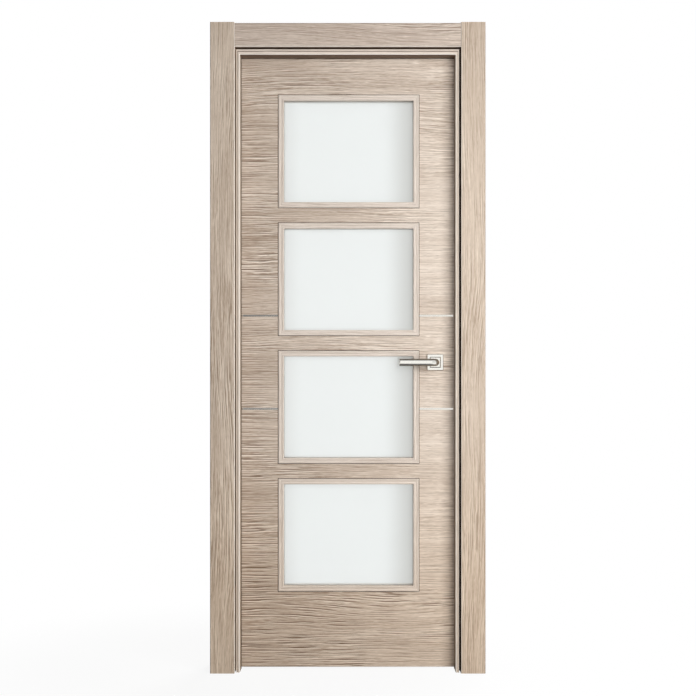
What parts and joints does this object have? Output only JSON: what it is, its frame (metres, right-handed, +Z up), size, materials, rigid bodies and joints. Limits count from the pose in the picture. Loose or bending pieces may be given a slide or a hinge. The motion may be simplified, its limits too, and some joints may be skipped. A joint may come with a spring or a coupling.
{
  "type": "glazed interior door set",
  "caption": "Hinged interior door with etched panes in an oak-veneered leaf, lever handles and a rebated frame with architraves.",
  "frame": {"origin": "on the hinge jamb's wall-side face, at floor level, half-way through the jamb's depth", "axes": "+X across the doorway from the hinge side to the lock side, +Y from the push side to the pull side, +Z up"},
  "size_m": [0.9165, 0.164, 2.13],
  "materials": {
    "oak_veneer": "pale greyed oak veneer, matt",
    "etched_glass": "white etched, translucent",
    "inlay_aluminium": "satin",
    "satin_nickel": "satin nickel",
    "hinge_steel": "satin",
    "seal_rubber": "brown rubber"
  },
  "bodies": {
    "frame": {"hinge_jamb": "oak_veneer", "lock_jamb": "oak_veneer", "head_jamb": "oak_veneer", "hinge_jamb_seal": "seal_rubber", "lock_jamb_seal": "seal_rubber", "head_seal": "seal_rubber", "strike_plate": "hinge_steel", "front_architrave_left": "oak_veneer", "front_architrave_right": "oak_veneer", "front_architrave_head": "oak_veneer", "back_architrave_left": "oak_veneer", "back_architrave_right": "oak_veneer", "back_architrave_head": "oak_veneer", "hinge_frame_half_1": "hinge_steel", "hinge_frame_half_2": "hinge_steel", "hinge_frame_half_3": "hinge_steel"},
    "leaf": {"leaf_slab": "oak_veneer", "front_beads_across": "oak_veneer", "front_beads_upright": "oak_veneer", "back_beads_across": "oak_veneer", "back_beads_upright": "oak_veneer", "front_inlays": "inlay_aluminium", "back_inlays": "inlay_aluminium", "latch_forend": "hinge_steel", "latch_bolt": "hinge_steel", "front_rosette": "satin_nickel", "back_rosette": "satin_nickel", "glass_pane_1": "etched_glass", "glass_pane_2": "etched_glass", "glass_pane_3": "etched_glass", "glass_pane_4": "etched_glass", "hinge_leaf_half_1": "hinge_steel", "hinge_leaf_half_2": "hinge_steel", "hinge_leaf_half_3": "hinge_steel"},
    "handle": {"front_lever": "satin_nickel", "back_lever": "satin_nickel", "spindle": "satin_nickel"}
  },
  "joints": [
    {"name": "leaf_swing", "type": "hinge", "parent": "frame", "child": "leaf", "pos_m": [0.0225, 0.055, 0], "axis": [0, 0, 1], "range_deg": [0, 165]},
    {"name": "handle_turn", "type": "hinge", "parent": "leaf", "child": "handle", "pos_m": [0.677, 0.0275, 1.012], "axis": [0, -1, 0], "range_deg": [0, 45], "stiffness_Nm_per_rad": 1.2, "springref_deg": -51.57}
  ]
}
